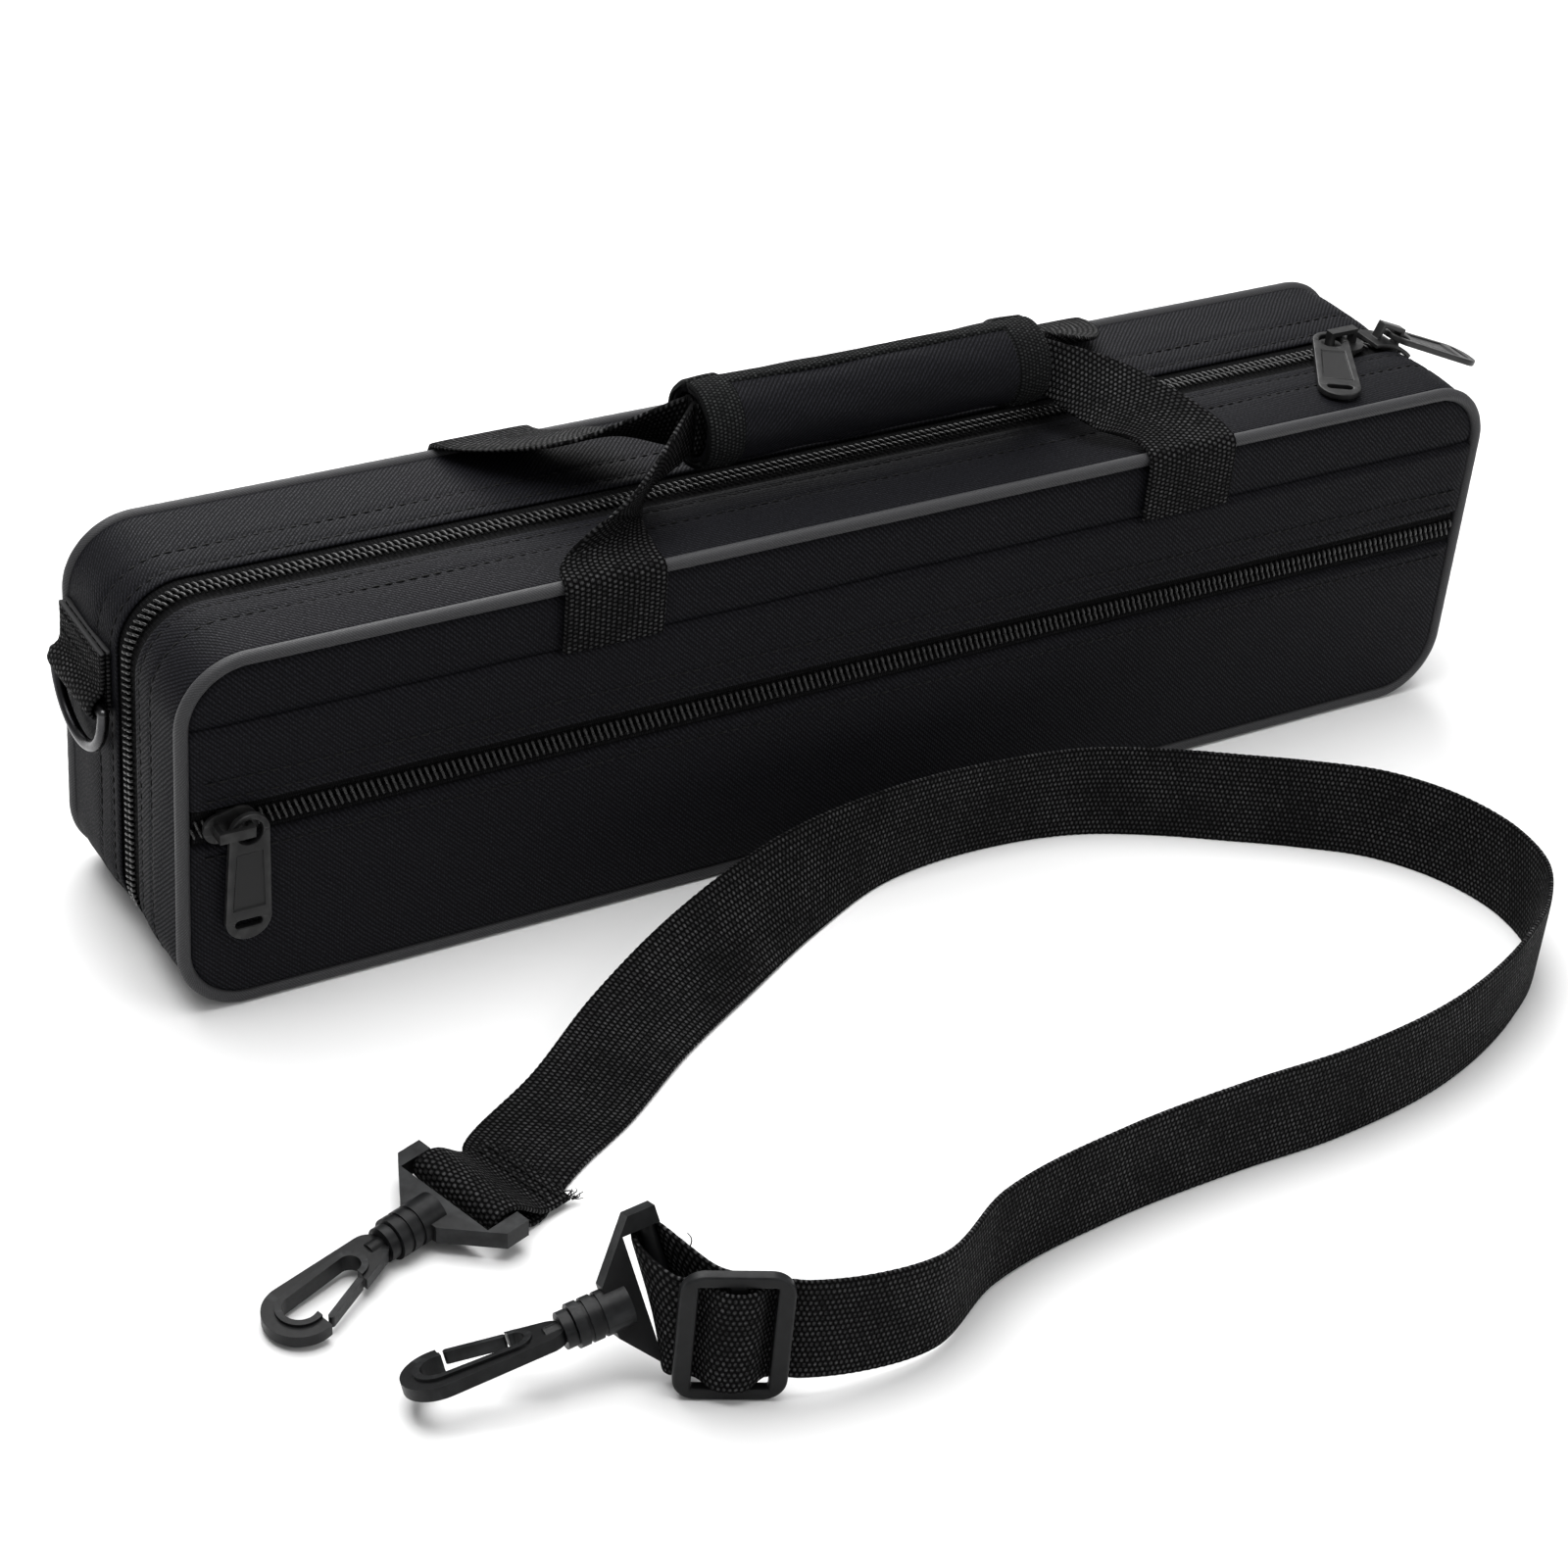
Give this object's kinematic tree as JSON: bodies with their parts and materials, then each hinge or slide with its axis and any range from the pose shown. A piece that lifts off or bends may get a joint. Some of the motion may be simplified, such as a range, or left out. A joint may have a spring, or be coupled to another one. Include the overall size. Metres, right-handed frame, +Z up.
{
  "type": "flute case",
  "caption": "Soft zipped flute case with padded grip handle, front pocket, D-rings, foam bed and detachable shoulder strap.",
  "frame": {"origin": "middle of the case's footprint on the surface that it stands on", "axes": "+X along the case to the right seen from the pocket, +Y from the pocket to the back, +Z up"},
  "size_m": [0.473, 0.2752, 0.1391],
  "materials": {
    "cloth": "black woven polyester with a fine twill and a matt coating",
    "piping": "dark grey satin piping",
    "webbing": "black basket-weave polypropylene webbing",
    "zip_tape": "black knitted zip tape",
    "zip_coil": "glossy black nylon coil",
    "board": "stiff foam board under the cloth",
    "lining": "black brushed lining over foam",
    "ring_steel": "dark nickel on bent steel wire",
    "zip_metal": "black painted die casting, worn at its rims",
    "hook_plastic": "black moulded acetal"
  },
  "bodies": {
    "lid_half": {"pocket_lower_panel": "cloth", "pocket_middle_panel": "cloth", "pocket_rear_wall": "cloth", "pocket_top_panel": "cloth", "pocket_zip_coil_lower": "zip_coil", "pocket_zip_coil_upper": "zip_coil", "pocket_zip_tape_lower": "zip_tape", "pocket_zip_tape_upper": "zip_tape", "front_gusset": "cloth", "front_piping": "piping", "front_board_tray": "board", "lid_liner": "lining", "front_zip_tape": "zip_tape", "front_zip_coil": "zip_coil", "hinge_strip": "cloth", "shoulder_strap": "webbing", "hook_base_left": "hook_plastic", "hook_base_right": "hook_plastic", "handle_web_front_left": "webbing", "handle_web_front_right": "webbing"},
    "back_half": {"back_panel": "cloth", "back_gusset": "cloth", "back_piping": "piping", "back_board_tray": "board", "bed_foam": "lining", "back_zip_tape": "zip_tape", "back_zip_coil": "zip_coil", "ring_tab_left": "webbing", "ring_tab_right": "webbing", "handle_web_back_left": "webbing", "handle_web_back_right": "webbing"},
    "grip": {"handle_core_front": "webbing", "grip_pad": "cloth", "grip_pad_binding": "webbing"},
    "grip_wrap": {"grip_flap": "cloth", "grip_flap_binding": "webbing"},
    "rear_handle": {"handle_core_back": "webbing"},
    "ring_left": {"d_ring_left": "ring_steel"},
    "ring_right": {"d_ring_right": "ring_steel"},
    "main_slider": {"main_slider": "zip_metal"},
    "main_pull": {"main_pull": "zip_metal"},
    "corner_slider": {"corner_slider": "zip_metal"},
    "corner_pull": {"corner_pull": "zip_metal"},
    "pocket_slider": {"pocket_slider": "zip_metal"},
    "pocket_pull": {"pocket_pull": "zip_metal"},
    "adjuster": {"strap_adjuster": "hook_plastic"},
    "swivel_left": {"swivel_hook_left": "hook_plastic"},
    "gate_left": {"hook_gate_left": "hook_plastic"},
    "swivel_right": {"swivel_hook_right": "hook_plastic"},
    "gate_right": {"hook_gate_right": "hook_plastic"}
  },
  "joints": [
    {"name": "lid_hinge", "type": "hinge", "parent": "lid_half", "child": "back_half", "pos_m": [0, -0.003, 0.001], "axis": [-1, 0, 0], "range_deg": [0, 170], "deforming": ["hinge_strip", "back_zip_tape", "back_zip_coil", "handle_core_back", "handle_web_back_left", "handle_web_back_right"]},
    {"name": "handle_lift", "type": "slide", "parent": "lid_half", "child": "grip", "axis": [0, 0, 1], "range_m": [0, 0.015], "deforming": ["handle_web_front_left", "handle_web_front_right", "handle_web_back_left", "handle_web_back_right"]},
    {"name": "rear_handle_lift", "type": "slide", "parent": "back_half", "child": "rear_handle", "axis": [0, 0, 1], "range_m": [0, 0.015]},
    {"name": "grip_wrap_hinge", "type": "hinge", "parent": "grip", "child": "grip_wrap", "pos_m": [0.007, -0.01349, 0.11801], "axis": [1, 0, 0], "range_deg": [0, 85]},
    {"name": "ring_left_swing", "type": "hinge", "parent": "back_half", "child": "ring_left", "pos_m": [-0.21255, 0.021, 0.07], "axis": [0, 1, 0], "range_deg": [0, 160]},
    {"name": "ring_right_swing", "type": "hinge", "parent": "back_half", "child": "ring_right", "pos_m": [0.21255, 0.021, 0.07], "axis": [0, -1, 0], "range_deg": [0, 160]},
    {"name": "main_slider_travel", "type": "slide", "parent": "lid_half", "child": "main_slider", "axis": [-1, 0, 0], "range_m": [0, 0.36], "deforming": ["handle_web_front_left", "handle_web_front_right"]},
    {"name": "main_pull_swing", "type": "hinge", "parent": "main_slider", "child": "main_pull", "pos_m": [0.1758, -0.003, 0.11], "axis": [0, 0, 1], "range_deg": [-110, 55]},
    {"name": "corner_slider_travel", "type": "hinge", "parent": "lid_half", "child": "corner_slider", "pos_m": [0.19, -0.003, 0.088], "axis": [0, 1, 0], "range_deg": [0, 44]},
    {"name": "corner_pull_swing", "type": "hinge", "parent": "corner_slider", "child": "corner_pull", "pos_m": [0.19865, -0.003, 0.10839], "axis": [0, -1, 0], "range_deg": [0, 130]},
    {"name": "pocket_slider_travel", "type": "slide", "parent": "lid_half", "child": "pocket_slider", "axis": [1, 0, 0], "range_m": [0, 0.385]},
    {"name": "pocket_pull_swing", "type": "hinge", "parent": "pocket_slider", "child": "pocket_pull", "pos_m": [-0.1918, -0.0426, 0.0585], "axis": [0, 1, 0], "range_deg": [-100, 30]},
    {"name": "adjuster_travel", "type": "slide", "parent": "lid_half", "child": "adjuster", "axis": [0.8988, -0.4384, 0], "range_m": [0, 0.02], "deforming": ["shoulder_strap"]},
    {"name": "hook_left_swivel", "type": "hinge", "parent": "lid_half", "child": "swivel_left", "pos_m": [-0.19609, -0.1456, 0.00588], "axis": [-0.9595, -0.2751, -0.061], "continuous": true},
    {"name": "gate_left_spring", "type": "hinge", "parent": "swivel_left", "child": "gate_left", "pos_m": [-0.21271, -0.15718, 0.00471], "axis": [0.0587, 0.0168, -0.9981], "range_deg": [0, 14], "stiffness_Nm_per_rad": 0.01},
    {"name": "hook_right_swivel", "type": "hinge", "parent": "lid_half", "child": "swivel_right", "pos_m": [-0.17661, -0.20347, 0.01778], "axis": [-0.9803, 0.0514, -0.1908], "continuous": true},
    {"name": "gate_right_spring", "type": "hinge", "parent": "swivel_right", "child": "gate_right", "pos_m": [-0.19468, -0.19636, 0.01192], "axis": [-0.1612, 0.3509, 0.9224], "range_deg": [0, 14], "stiffness_Nm_per_rad": 0.01}
  ],
  "couplings": [
    {"joint": "rear_handle_lift", "follows": "handle_lift", "ratio": 1}
  ]
}
